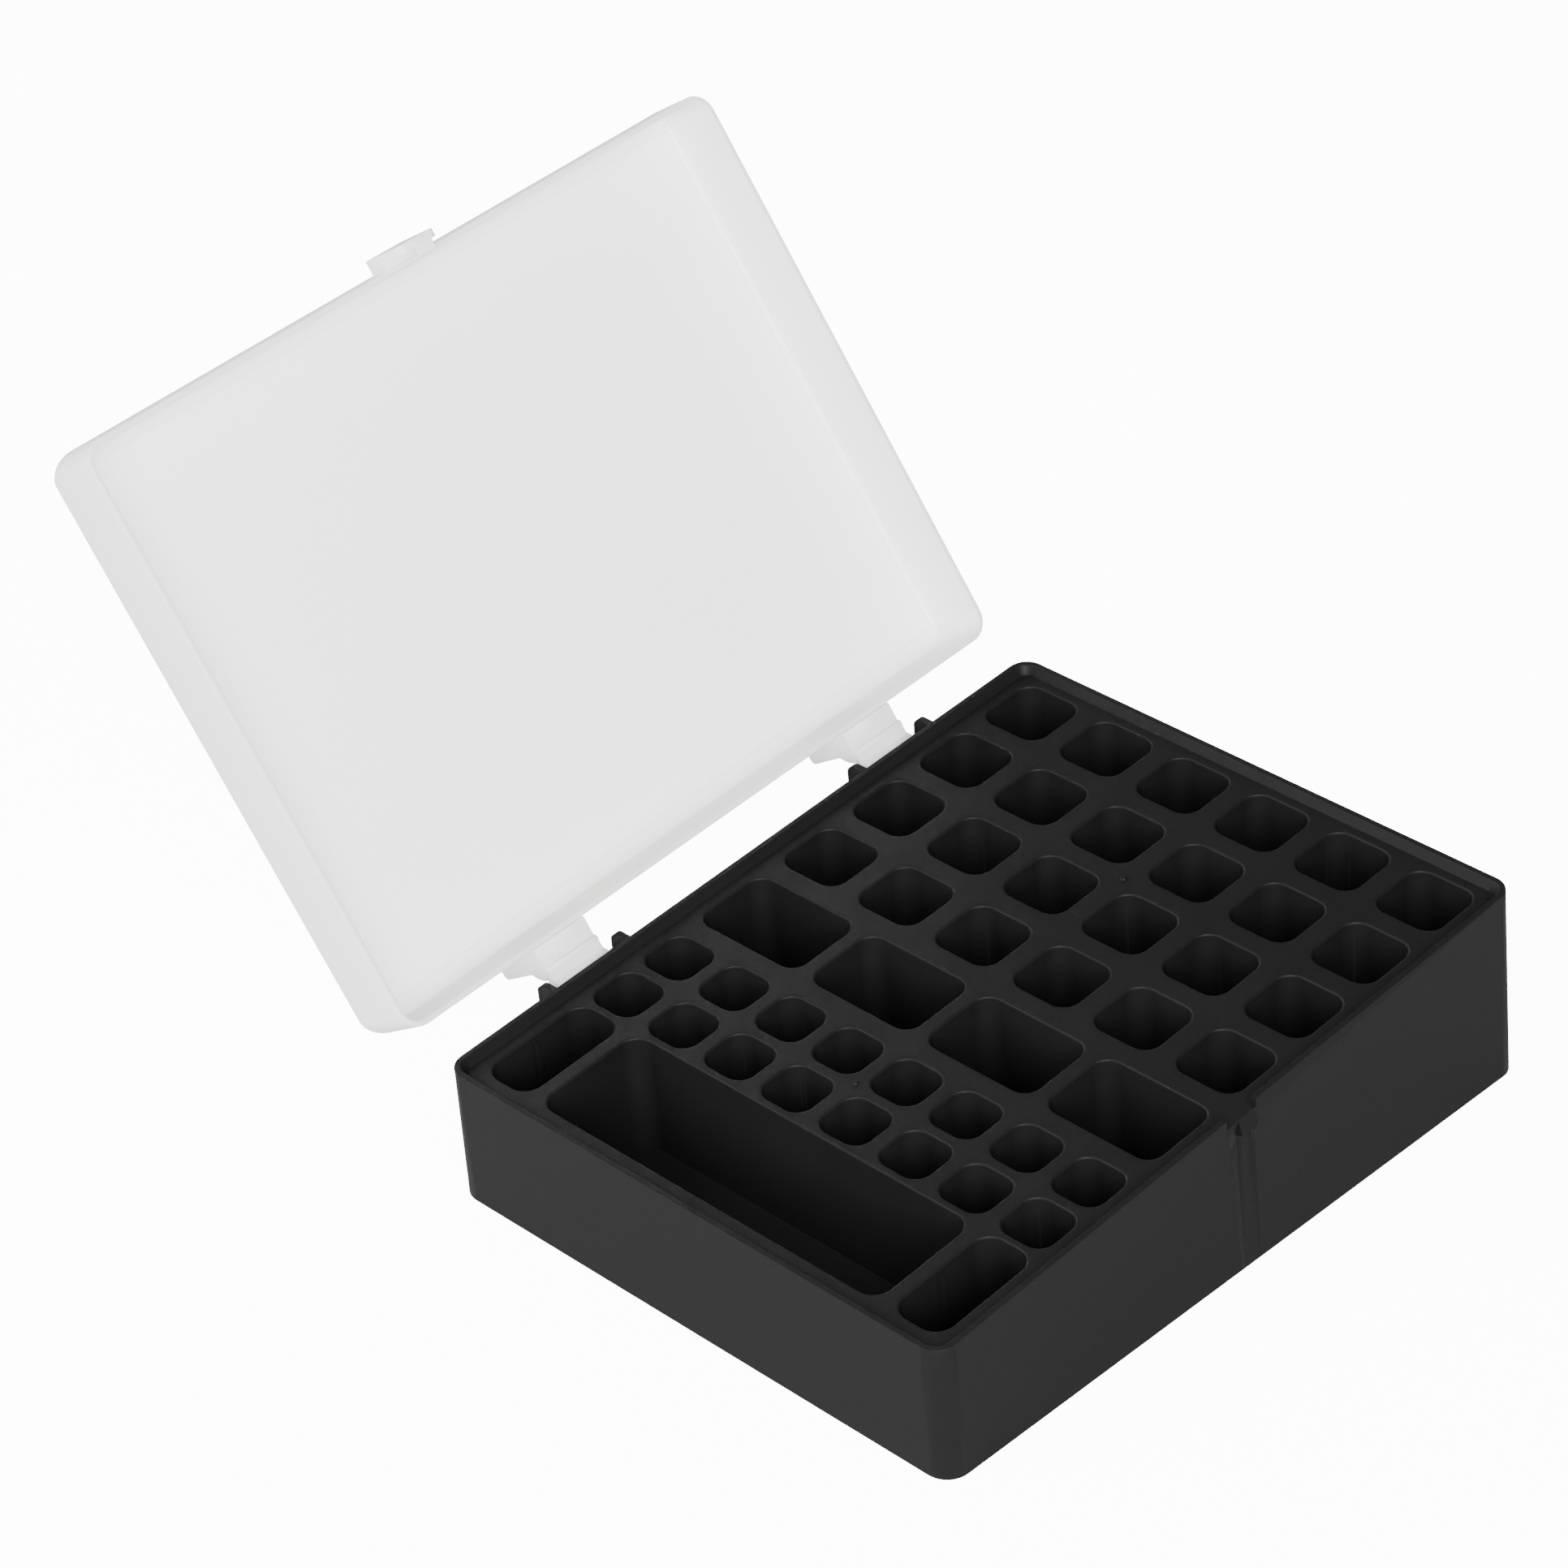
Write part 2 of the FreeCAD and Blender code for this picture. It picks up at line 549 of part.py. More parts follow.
def latch_tab():
    """The tab on the lid's front wall, closed, with the hook that catches below the keeper's ridge."""
    front = -LID_HALF_WIDTH
    face = front - TAB_PROUD
    back = face + TAB_THICKNESS
    top = LID_RIM_Z + TAB_RISE
    foot = LID_RIM_Z - TAB_DROP
    outline = [(front, top), (face, top), (face, foot), (back, foot), (back, LID_RIM_Z), (front, LID_RIM_Z)]
    plate = yz_prism(outline, -TAB_WIDTH / 2, TAB_WIDTH)
    reach = TAB_DROP + TAB_RISE
    width_limit = box(-TAB_WIDTH / 2, TAB_WIDTH / 2, face - reach, front + reach, foot, top)
    upright = [e for e in width_limit.Edges if e.BoundBox.YLength > reach]
    plate = plate.common(width_limit.makeFillet(TAB_CORNER, upright))
    crest, hollow = keeper_crest()
    run = math.hypot(hollow[0] - crest[0], hollow[1] - crest[1])
    along = ((hollow[0] - crest[0]) / run, (hollow[1] - crest[1]) / run)
    start = (crest[0] + along[1] * HOOK_CLEARANCE, crest[1] - along[0] * HOOK_CLEARANCE)
    tip_y = crest[0] + HOOK_REACH
    tip_z = start[1] + (tip_y - start[0]) * along[1] / along[0]
    inside = face + TAB_THICKNESS / 2
    hook = [(inside, foot), (back, foot), (tip_y, tip_z - HOOK_TIP), (tip_y, tip_z), start,
            (inside, start[1])]
    hook = yz_prism(hook, -KEEPER_LEFT, KEEPER_LEFT + FLUTE_RIGHT - HOOK_CLEARANCE)
    return plate.fuse(hook).removeSplitter()


# ---- the nodes ----
def build():
    aaa_rows = tile_rows(AAA_ROWS, AAA_OPENING)
    half = AAA_ROWS // 2
    tray_nodes = {
        "aa_pockets": aa_cups(),
        "aaa_pockets_front": aaa_cups(aaa_rows[:half]),
        "aaa_pockets_rear": aaa_cups(aaa_rows[half:]),
        "block_pockets": block_cups(),
        "end_slots": [end_slot(-1), end_slot(1)],
        "long_bay": [long_bay()],
        "hinge_ears": hinge_ears(),
        "hinge_bars": [hinge_bar(-1), hinge_bar(1)],
        "hinge_foot_left": [hinge_foot(-1)],
        "hinge_foot_right": [hinge_foot(1)],
    }
    lid_nodes = {
        "lid_shell": [lid_shell()],
        "hinge_arm_left": [hinge_arm(-1)],
        "hinge_arm_right": [hinge_arm(1)],
        "latch_tab": [latch_tab()],
    }
    nodes = {"tray_skirt": [tray_skirt()], "latch_keeper": [latch_keeper()]}
    for name, shapes in tray_nodes.items():
        nodes[name] = [place_tray(shape) for shape in shapes]
    for name, shapes in lid_nodes.items():
        nodes[name] = [place_lid(shape) for shape in shapes]
    return nodes


def export(nodes):
    os.makedirs("parts", exist_ok=True)
    for name, shapes in nodes.items():
        solids = [solid for shape in shapes for solid in shape.Solids]
        whole = solids[0] if len(solids) == 1 else Part.makeCompound(solids)
        if not whole.isValid():
            raise ValueError(name + " is not a valid shape")
        whole.exportStep("parts/" + name + ".step")
        print(name, len(solids), "solids", round(whole.Volume, 1), "mm3")


export(build())
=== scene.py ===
"""Looks of a battery storage case: a black moulded tray of pockets under a frosted hinged lid."""

import json
import math
from typing import NamedTuple

import bpy
import numpy as np
from mathutils import Matrix, Vector


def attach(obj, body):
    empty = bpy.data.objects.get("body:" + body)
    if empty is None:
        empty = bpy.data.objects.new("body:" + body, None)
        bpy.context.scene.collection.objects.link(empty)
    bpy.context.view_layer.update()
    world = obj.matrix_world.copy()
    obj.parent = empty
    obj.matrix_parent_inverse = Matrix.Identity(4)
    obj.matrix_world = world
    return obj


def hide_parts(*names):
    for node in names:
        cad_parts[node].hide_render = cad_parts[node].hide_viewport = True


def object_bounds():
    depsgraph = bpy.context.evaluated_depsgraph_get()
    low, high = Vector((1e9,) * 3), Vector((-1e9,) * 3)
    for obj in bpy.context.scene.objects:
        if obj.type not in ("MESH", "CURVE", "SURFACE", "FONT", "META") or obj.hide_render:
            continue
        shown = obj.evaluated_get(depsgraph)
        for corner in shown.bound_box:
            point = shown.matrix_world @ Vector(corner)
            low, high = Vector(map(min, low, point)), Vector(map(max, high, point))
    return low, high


bl_info = {
    "name": "Battery Case",
    "version": (1, 0, 0),
    "blender": (4, 5, 0),
    "location": "View3D > Sidebar > Battery Case",
    "description": "Finishes a moulded battery tray and its frosted lid, piece by piece",
    "category": "Object",
}

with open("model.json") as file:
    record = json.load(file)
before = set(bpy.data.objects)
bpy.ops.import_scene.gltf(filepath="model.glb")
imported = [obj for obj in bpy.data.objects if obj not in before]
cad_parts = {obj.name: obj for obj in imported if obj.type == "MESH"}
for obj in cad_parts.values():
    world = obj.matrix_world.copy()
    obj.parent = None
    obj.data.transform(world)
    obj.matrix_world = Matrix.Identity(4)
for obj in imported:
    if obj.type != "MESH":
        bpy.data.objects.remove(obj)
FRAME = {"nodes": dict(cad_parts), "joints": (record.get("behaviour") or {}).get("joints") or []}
CAD_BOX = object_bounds()
MM = 0.001

HINGE = next(joint for joint in FRAME["joints"] if joint["name"] == "lid_hinge")
HINGE_POINT = np.array(HINGE["pos_m"])
SLOPE = math.atan2(HINGE["axis"][2], HINGE["axis"][0])
OPENING = math.radians(HINGE["range_deg"][1])

BLACK_NODES = (
    "tray_skirt",
    "aa_pockets",
    "aaa_pockets_front",
    "aaa_pockets_rear",
    "block_pockets",
    "end_slots",
    "long_bay",
    "hinge_ears",
    "hinge_bars",
    "latch_keeper",
)
ROUNDED_BLACK_NODES = ("tray_skirt", "hinge_ears", "latch_keeper")
FROSTED_NODES = (
    "hinge_foot_left",
    "hinge_foot_right",
    "hinge_arm_left",
    "hinge_arm_right",
    "latch_tab",
)


class Grain(NamedTuple):
    """One finish's grain: noise cells in a metre, change of roughness, bump depth and strength."""

    scale: float
    change: float
    depth: float
    strength: float


class SoftLight(NamedTuple):
    """One square studio light: its name, the setting with its power, its side and its place."""

    name: str
    power: str
    size: float
    place: tuple


# ---- finishes ----
BLACK_GRAIN = Grain(scale=3600.0, change=0.1, depth=0.05 * MM, strength=0.22)
FROST_GRAIN = Grain(scale=2400.0, change=0.06, depth=0.04 * MM, strength=0.18)
FINE_SHARE = 0.55            # the fine noise's share of the grain's height
COARSE_SHARE = 0.45
COARSE_RATIO = 0.31          # the coarse noise's scale over the fine one's
MOTTLE_SCALE = 38.0          # slow change of tone, noise cells in a metre
BLACK_TONES = (0.8, 1.2)     # darkest and lightest mottle over the chosen colour
FROST_TONE = 0.985
PLASTIC_IOR = 1.49

# ---- dressing of the frame's own pieces ----
JOIN_REACH = 0.002 * MM      # corners this near are one
SHARP_ANGLE = math.radians(40)
EDGE_STEPS = 2

# ---- the lid's grid ----
CORNER_STEPS = 9             # round each upright corner
SIDE_STEPS = 24              # between two corners
ROUND_STEPS = 9              # from the wall over the edge to the panel
RIM_STEPS = 4
CREASE_STEPS = 9
PANEL_STEPS = 12             # from the panel's middle to its edge
PANEL_START = 0.02
PANEL_LAST = 0.99            # one more ring close to the edge keeps the panel flat
LEAST_ROUND = 0.3 * MM       # of the inner edge
CREASE_DEPTH = 0.4           # over the crease's width

# ---- a gate mark's grid and shape ----
GATE_RINGS = 14
GATE_AROUND = 28
GATE_FLATNESS = 6            # power of the button's fall towards its edge
DIMPLE_DEPTH = 0.45          # over the button's height
DIMPLE_REACH = 3.2           # button radius over the dimple's
GATE_FOOT = 0.3              # how deep it goes into the deck, over its height

# ---- studio ----
LIGHTS = (
    SoftLight("key_light", "key_power", 1.2, (-1.0, -1.05, 0.85)),
    SoftLight("fill_light", "fill_power", 1.4, (-1.2, 0.9, 0.9)),
    SoftLight("rear_light", "rear_power", 1.4, (0.5, 1.7, 0.8)),
)
TABLE_REACH = 4.0            # half the light table's side
TABLE_DROP = 0.05 * MM       # the table lies this far below the case's foot
TABLE_TONES = (0.54, 0.56)
FIBRE_SCALE = 220.0


# ---- the case's own directions ----
def slope_matrix():
    """Turns the level deck frame (X along the case, Z off the deck) onto the case's slope."""
    return np.array(
        [
            [math.cos(SLOPE), 0.0, -math.sin(SLOPE)],
            [0.0, 1.0, 0.0],
            [math.sin(SLOPE), 0.0, math.cos(SLOPE)],
        ]
    )


def lid_matrix():
    """Turns the closed lid about the deck's X axis to where it stands open."""
    turn = -OPENING
    swing = np.array(
        [
            [1.0, 0.0, 0.0],
            [0.0, math.cos(turn), -math.sin(turn)],
            [0.0, math.sin(turn), math.cos(turn)],
        ]
    )
    return slope_matrix() @ swing


def node_points(name):
    """The CAD node's vertices as an array of rows."""
    mesh = FRAME["nodes"][name].data
    flat = np.empty(3 * len(mesh.vertices))
    mesh.vertices.foreach_get("co", flat)
    return flat.reshape(-1, 3)


def seen_from_hinge(points, turn):
    """Points given along the turned directions, measured from the hinge's middle."""
    return (points - HINGE_POINT) @ turn


def placed_at_hinge(points, turn):
    """The way back: from the turned directions to the case's frame."""
    return points @ turn.T + HINGE_POINT


# ---- mesh helpers ----
def mesh_piece(name, points, faces, smooth=True):
    """A piece from an array of points and lists of face corners, at the origin and unturned."""
    mesh = bpy.data.meshes.new(name)
    mesh.from_pydata(points.tolist(), [], faces)
    mesh.validate()
    mesh.update()
    if smooth:
        mesh.shade_smooth()
    piece = bpy.data.objects.new(name, mesh)
    bpy.context.scene.collection.objects.link(piece)
    return piece


def ring_faces(rings, around):
    """Quads between closed rings of points, ring after ring, each ring's last point next to its
    first."""
    ring = np.arange(rings - 1)[:, None] * around
    step = np.arange(around)[None, :]
    after = (step + 1) % around
    quads = np.stack(
        [ring + step, ring + after, ring + around + after, ring + around + step], axis=-1
    )
    return quads.reshape(-1, 4).tolist()


def fan_faces(pole, first, around, outward):
    """Triangles from a pole to the ring that starts at first."""
    step = np.arange(around)
    after = (step + 1) % around
    sides = (first + step, first + after) if outward else (first + after, first + step)
    return np.stack([np.full(around, pole), *sides], axis=-1).tolist()


# ---- material helpers ----
def node_group(name, inputs, outputs):
    """An empty shader group with float sockets, and its two end nodes."""
    group = bpy.data.node_groups.new(name, "ShaderNodeTree")
    for label, default in inputs.items():
        socket = group.interface.new_socket(
            name=label, in_out="INPUT", socket_type="NodeSocketFloat"
        )
        socket.default_value = default
    for label in outputs:
        group.interface.new_socket(name=label, in_out="OUTPUT", socket_type="NodeSocketFloat")
    start = group.nodes.new("NodeGroupInput")
    end = group.nodes.new("NodeGroupOutput")
    return group, start, end


def feed(links, value, socket):
    """Links a socket to another, or sets it to a number."""
    if isinstance(value, bpy.types.NodeSocket):
        links.new(value, socket)
    else:
        socket.default_value = value


def math_node(nodes, links, operation, first, second):
    """A Math node fed by sockets or numbers; returns its output."""
    node = nodes.new("ShaderNodeMath")
    node.operation = operation
    feed(links, first, node.inputs[0])
    feed(links, second, node.inputs[1])
    return node.outputs[0]


def noise_node(nodes, links, vector, scale, detail, roughness=0.5):
    """A noise texture on the given coordinates; returns its value output."""
    node = nodes.new("ShaderNodeTexNoise")
    node.inputs["Detail"].default_value = detail
    node.inputs["Roughness"].default_value = roughness
    links.new(vector, node.inputs["Vector"])
    feed(links, scale, node.inputs["Scale"])
    return node.outputs["Fac"]


def mixed_colour(nodes, links, factor, dark, light):
    """A colour between two, by a mask."""
    mix = nodes.new("ShaderNodeMix")
    mix.data_type = "RGBA"
    links.new(factor, mix.inputs["Factor"])
    mix.inputs["A"].default_value = (*dark, 1.0)
    mix.inputs["B"].default_value = (*light, 1.0)
    return mix.outputs["Result"]


def new_material(name):
    """A material with nodes; returns it with its nodes, its links and its shader."""
    material = bpy.data.materials.new(name)
    material.use_nodes = True
    tree = material.node_tree
    return material, tree.nodes, tree.links, tree.nodes["Principled BSDF"]


# ---- the two plastics ----
def spark_grain_group():
    """Moulded surface grain, built once: a fine eroded height from two noises, a roughness that
    drifts slowly across the part, and the mottle that both plastics take their tone from."""
    name = "spark_grain"
    if name in bpy.data.node_groups:
        return bpy.data.node_groups[name]
    inputs = {"Grain Scale": 3200.0, "Roughness": 0.45, "Roughness Change": 0.08}
    group, start, end = node_group(name, inputs, ("Height", "Roughness", "Mottle"))
    nodes, links = group.nodes, group.links
    where = nodes.new("ShaderNodeTexCoord").outputs["Object"]
    fine = noise_node(nodes, links, where, start.outputs["Grain Scale"], 2.0, 0.6)
    fine_height = math_node(nodes, links, "MULTIPLY", fine, FINE_SHARE)
    coarse_scale = math_node(
        nodes, links, "MULTIPLY", start.outputs["Grain Scale"], COARSE_RATIO
    )
    coarse = noise_node(nodes, links, where, coarse_scale, 1.0)
    coarse_height = math_node(nodes, links, "MULTIPLY", coarse, COARSE_SHARE)
    height = math_node(nodes, links, "ADD", coarse_height, fine_height)
    links.new(height, end.inputs["Height"])
    mottle = noise_node(nodes, links, where, MOTTLE_SCALE, 3.0)
    links.new(mottle, end.inputs["Mottle"])
    centred = math_node(nodes, links, "SUBTRACT", mottle, 0.5)
    change = math_node(nodes, links, "MULTIPLY", centred, start.outputs["Roughness Change"])
    rough = math_node(nodes, links, "ADD", start.outputs["Roughness"], change)
    links.new(rough, end.inputs["Roughness"])
    return group


def add_grain(nodes, links, shader, grain, roughness):
    """Places the shared grain in a material and wires it to roughness and to a bump; returns the
    mottle."""
    group = nodes.new("ShaderNodeGroup")
    group.node_tree = spark_grain_group()
    group.inputs["Grain Scale"].default_value = grain.scale
    group.inputs["Roughness"].default_value = roughness
    group.inputs["Roughness Change"].default_value = grain.change
    bump = nodes.new("ShaderNodeBump")
    bump.inputs["Strength"].default_value = grain.strength
    bump.inputs["Distance"].default_value = grain.depth
    links.new(group.outputs["Height"], bump.inputs["Height"])
    links.new(bump.outputs["Normal"], shader.inputs["Normal"])
    links.new(group.outputs["Roughness"], shader.inputs["Roughness"])
    return group.outputs["Mottle"]


def black_moulding(looks):
    """Matte black plastic with a fine spark-eroded grain."""
    material, nodes, links, shader = new_material("matte_black_plastic")
    mottle = add_grain(nodes, links, shader, BLACK_GRAIN, looks.black_roughness)
    dark, light = ([tone * value for value in looks.black_colour] for tone in BLACK_TONES)
    colour = mixed_colour(nodes, links, mottle, dark, light)
    links.new(colour, shader.inputs["Base Color"])
    shader.inputs["Specular IOR Level"].default_value = looks.black_shine
    shader.inputs["IOR"].default_value = PLASTIC_IOR
    return material


def frosted_moulding(looks):
    """Frosted polypropylene: milky, lit through, with a faint sheen."""
    material, nodes, links, shader = new_material("frosted_plastic")
    mottle = add_grain(nodes, links, shader, FROST_GRAIN, looks.frost_roughness)
    dark = [FROST_TONE * value for value in looks.frost_colour]
    colour = mixed_colour(nodes, links, mottle, dark, looks.frost_colour)
    links.new(colour, shader.inputs["Base Color"])
    shader.inputs["Transmission Weight"].default_value = looks.frost_clearness
    shader.inputs["IOR"].default_value = PLASTIC_IOR
    return material


FINISHES = {"matte_black_plastic": black_moulding, "frosted_plastic": frosted_moulding}


def finish_material(name):
    """The named finish, made once."""
    if name in bpy.data.materials:
        return bpy.data.materials[name]
    return FINISHES[name](bpy.context.scene.case_looks)


def dress_node(name, finish, edge_round):
    """Gives a CAD node its finish, joins its loose triangles and rounds its sharp edges."""
    node = FRAME["nodes"][name]
    for slot in node.material_slots:
        slot.material = finish_material(finish)
    weld = node.modifiers.new("join_triangles", "WELD")
    weld.merge_threshold = JOIN_REACH
    if edge_round > 0:
        bevel = node.modifiers.new("edge_round", "BEVEL")
        bevel.width = edge_round
        bevel.segments = EDGE_STEPS
        bevel.limit_method = "ANGLE"
        bevel.angle_limit = SHARP_ANGLE
        bevel.harden_normals = True
        bevel.use_clamp_overlap = True


# ---- settings ----
class CaseLooks(bpy.types.PropertyGroup):
    """Colours and finish of the two plastics."""

    black_colour: bpy.props.FloatVectorProperty(
        name="Black",
        description="Colour of the tray",
        subtype="COLOR",
        size=3,
        default=(0.0065, 0.0065, 0.0067),
    )
    black_roughness: bpy.props.FloatProperty(
        name="Black Roughness",
        description="Dullness of the tray",
        subtype="FACTOR",
        default=0.5,
        min=0,
        max=1,
    )
    black_shine: bpy.props.FloatProperty(
        name="Black Shine",
        description="Mirror strength of the tray",
        subtype="FACTOR",
        default=0.1,
        min=0,
        max=1,
    )
    frost_colour: bpy.props.FloatVectorProperty(
        name="Frosted",
        description="Colour of the lid",
        subtype="COLOR",
        size=3,
        default=(0.95, 0.945, 0.935),
    )
    frost_roughness: bpy.props.FloatProperty(
        name="Frost Roughness",
        description="Dullness of the lid",
        subtype="FACTOR",
        default=0.5,
        min=0,
        max=1,
    )
    frost_clearness: bpy.props.FloatProperty(
        name="Frost Clearness",
        description="How much light passes the lid",
        subtype="FACTOR",
        default=0.3,
        min=0,
        max=1,
    )


class LidSizes(bpy.types.PropertyGroup):
    """Walls and rounds of the lid and its fittings."""

    wall: bpy.props.FloatProperty(
        name="Wall",
        description="Thickness of the lid",
        unit="LENGTH",
        default=1.2 * MM,
        precision=4,
    )
    corner: bpy.props.FloatProperty(
        name="Corner",
        description="Radius of the upright corners",
        unit="LENGTH",
        default=5.0 * MM,
        precision=4,
    )
    long_round: bpy.props.FloatProperty(
        name="Long Round",
        description="Round along the front and hinge edges",
        unit="LENGTH",
        default=4.2 * MM,
        precision=4,
    )
    end_round: bpy.props.FloatProperty(
        name="End Round",
        description="Round along the two ends",
        unit="LENGTH",
        default=1.6 * MM,
        precision=4,
    )
    rim_round: bpy.props.FloatProperty(
        name="Rim Round",
        description="Round of the lid's open edge",
        unit="LENGTH",
        default=0.25 * MM,
        precision=4,
    )
    crease: bpy.props.FloatProperty(
        name="Crease",
        description="Width of the fine hollow round the panel's inner side",
        unit="LENGTH",
        default=0.7 * MM,
        precision=4,
    )
    clearance: bpy.props.FloatProperty(
        name="Clearance",
        description="How far the panel stays below the frame's highest corner",
        unit="LENGTH",
        default=0.03 * MM,
        precision=5,
    )
    fitting_round: bpy.props.FloatProperty(
        name="Fitting Round",
        description="Round on the sharp edges of the arms, feet and tab",
        unit="LENGTH",
        default=0.2 * MM,
        precision=4,
    )


class TraySizes(bpy.types.PropertyGroup):
    """Small features of the tray."""

    edge_round: bpy.props.FloatProperty(
        name="Edge Round",
        description="Round on the tray's sharp edges",
        unit="LENGTH",
        default=0.25 * MM,
        precision=4,
    )
    gate_radius: bpy.props.FloatProperty(
        name="Gate Radius",
        description="Radius of a gate mark on the deck",
        unit="LENGTH",
        default=0.8 * MM,
        precision=4,
    )
    gate_height: bpy.props.FloatProperty(
        name="Gate Height",
        description="Height of a gate mark",
        unit="LENGTH",
        default=0.5 * MM,
        precision=4,
    )


class StudioSettings(bpy.types.PropertyGroup):
    """Camera and light."""

    azimuth: bpy.props.FloatProperty(
        name="Azimuth",
        description="Direction the camera looks, from +Y",
        subtype="ANGLE",
        default=math.radians(-45.67),
    )
    elevation: bpy.props.FloatProperty(
        name="Elevation",
        description="Camera above the horizon",
        subtype="ANGLE",
        default=math.radians(33.46),
    )
    roll: bpy.props.FloatProperty(
        name="Roll",
        description="Camera roll",
        subtype="ANGLE",
        default=math.radians(-1.39),
    )
    distance: bpy.props.FloatProperty(
        name="Distance",
        description="Camera to the point it aims at",
        unit="LENGTH",
        default=0.9622,
    )
    aim: bpy.props.FloatVectorProperty(
        name="Aim",
        description="The point the camera looks at",
        unit="LENGTH",
        size=3,
        default=(-0.00318, 0.11794, 0.060),
        precision=4,
    )
    lens: bpy.props.FloatProperty(
        name="Lens", description="Focal length in millimetres", default=110.85
    )
    key_power: bpy.props.FloatProperty(
        name="Key", description="Power of the key light in watts", default=98.0
    )
    fill_power: bpy.props.FloatProperty(
        name="Fill", description="Power of the fill light in watts", default=40.0
    )
    rear_power: bpy.props.FloatProperty(
        name="Rear", description="Power of the rear light in watts", default=16.0
    )
    sky: bpy.props.FloatProperty(
        name="Sky", description="Light from the surrounding white", default=0.1
    )
    glow: bpy.props.FloatProperty(
        name="Glow", description="Brightness of the lit table and backdrop", default=12.0
    )


# ---- the lid's shell ----
def rounded_outline(half_x, half_y, radius):
    """Points and outward normals round a rectangle with quarter-circle corners.

    Each corner is the corner's centre plus the radius times (cos t, sin t); the sides are straight
    runs between the corners, their normals those of the corner ends."""
    quarter = np.linspace(0, np.pi / 2, CORNER_STEPS)
    points, normals = [], []
    for index, (sx, sy) in enumerate(((1, 1), (-1, 1), (-1, -1), (1, -1))):
        angle = quarter + index * np.pi / 2
        normal = np.stack([np.cos(angle), np.sin(angle)], axis=-1)
        centre = np.array([sx * (half_x - radius), sy * (half_y - radius)])
        points.append(centre + radius * normal)
        normals.append(normal)
    all_points, all_normals = [], []
    for index in range(4):
        start, end = points[index][-1], points[(index + 1) % 4][0]
        share = np.linspace(0, 1, SIDE_STEPS + 2)[1:-1, None]
        all_points += [points[index], start + share * (end - start)]
        all_normals += [normals[index], np.repeat(normals[index][-1:], SIDE_STEPS, axis=0)]
    return np.concatenate(all_points), np.concatenate(all_normals)


def lid_profile(rounds, sizes, low, high):
    """Inset and height of each ring from the top panel's edge, down the outside, round the rim,
    back up the inside and over the crease. Each row is one ring, each column one round radius.

    A round of radius r is inset r (1 - cos t) and height top - r (1 - sin t); the rim is a half
    turn of two small rounds with a flat between them. The crease at the walls' foot is a hollow in
    the panel, 0.4 w sin^2(pi s) deep over its width w."""
    wall, rim = sizes.wall, sizes.rim_round
    turn = np.linspace(np.pi / 2, 0, ROUND_STEPS)[:, None]
    outer_inset = rounds * (1 - np.cos(turn))
    outer_height = high - rounds * (1 - np.sin(turn))
    inner = np.maximum(rounds - wall, LEAST_ROUND)
    inner_inset = wall + inner * (1 - np.cos(turn))
    inner_height = high - wall - inner * (1 - np.sin(turn))
    across = np.linspace(0, 1, CREASE_STEPS)[1:, None]
    crease_inset = wall + inner + sizes.crease * across
    crease_height = high - wall + CREASE_DEPTH * sizes.crease * np.sin(np.pi * across) ** 2
    quarter = np.linspace(0, np.pi / 2, RIM_STEPS)[:, None]
    rim_inset, rim_height = rim * (1 - np.cos(quarter)), low + rim * (1 - np.sin(quarter))
    ones = np.ones_like(rounds)
    inset = [
        outer_inset,
        rim_inset * ones,
        (wall - rim_inset[::-1]) * ones,
        inner_inset[::-1],
        crease_inset,
    ]
    height = [
        outer_height,
        rim_height * ones,
        rim_height[::-1] * ones,
        inner_height[::-1],
        crease_height * ones,
    ]
    return np.concatenate(inset), np.concatenate(height)


def lid_surface(sizes):
    """The lid's closed skin, measured from the hinge along the closed lid's directions.

    Each ring is the outline moved inwards by the profile's inset, the ends' inset along X and the
    long edges' along Y, so its corners are quarter ellipses; its height follows the round radius,
    which goes from the ends' to the long edges' as the square of the normal's Y. The two panels
    shrink their last ring towards a pole at the middle."""
    cad = seen_from_hinge(node_points("lid_shell"), lid_matrix())
    low_corner, high_corner = cad.min(axis=0), cad.max(axis=0)
    high_corner[2] -= sizes.clearance
    middle = (low_corner + high_corner) / 2
    half = (high_corner - low_corner) / 2
    low, high = low_corner[2], high_corner[2]
    outline, normal = rounded_outline(half[0], half[1], sizes.corner)
    axis_rounds = np.array([[sizes.end_round, sizes.long_round]])
    rounds = sizes.end_round + (sizes.long_round - sizes.end_round) * normal[:, 1] ** 2
    inset = lid_profile(axis_rounds, sizes, low, high)[0]
    height = lid_profile(rounds[None, :], sizes, low, high)[1]
    rings = outline[None] - inset[:, None] * normal[None]
    rings = np.concatenate([rings, height[..., None]], axis=-1)
    shrink = np.append(np.linspace(PANEL_START, 1, PANEL_STEPS)[:-1], PANEL_LAST)[:, None, None]
    flat = np.array([1.0, 1.0, 0.0])
    level = np.array([0.0, 0.0, 1.0])
    top = rings[:1] * flat * shrink + rings[:1] * level
    under = rings[-1:] * flat * shrink[::-1] + rings[-1:] * level
    rings = np.concatenate([top, rings, under])
    rings[..., :2] += middle[:2]
    poles = np.array([[middle[0], middle[1], high], [middle[0], middle[1], under[0, 0, 2]]])
    count, around = rings.shape[:2]
    points = np.concatenate([rings.reshape(-1, 3), poles])
    faces = [face[::-1] for face in ring_faces(count, around)]
    faces += fan_faces(count * around, 0, around, True)
    faces += fan_faces(count * around + 1, (count - 1) * around, around, False)
    return points, faces


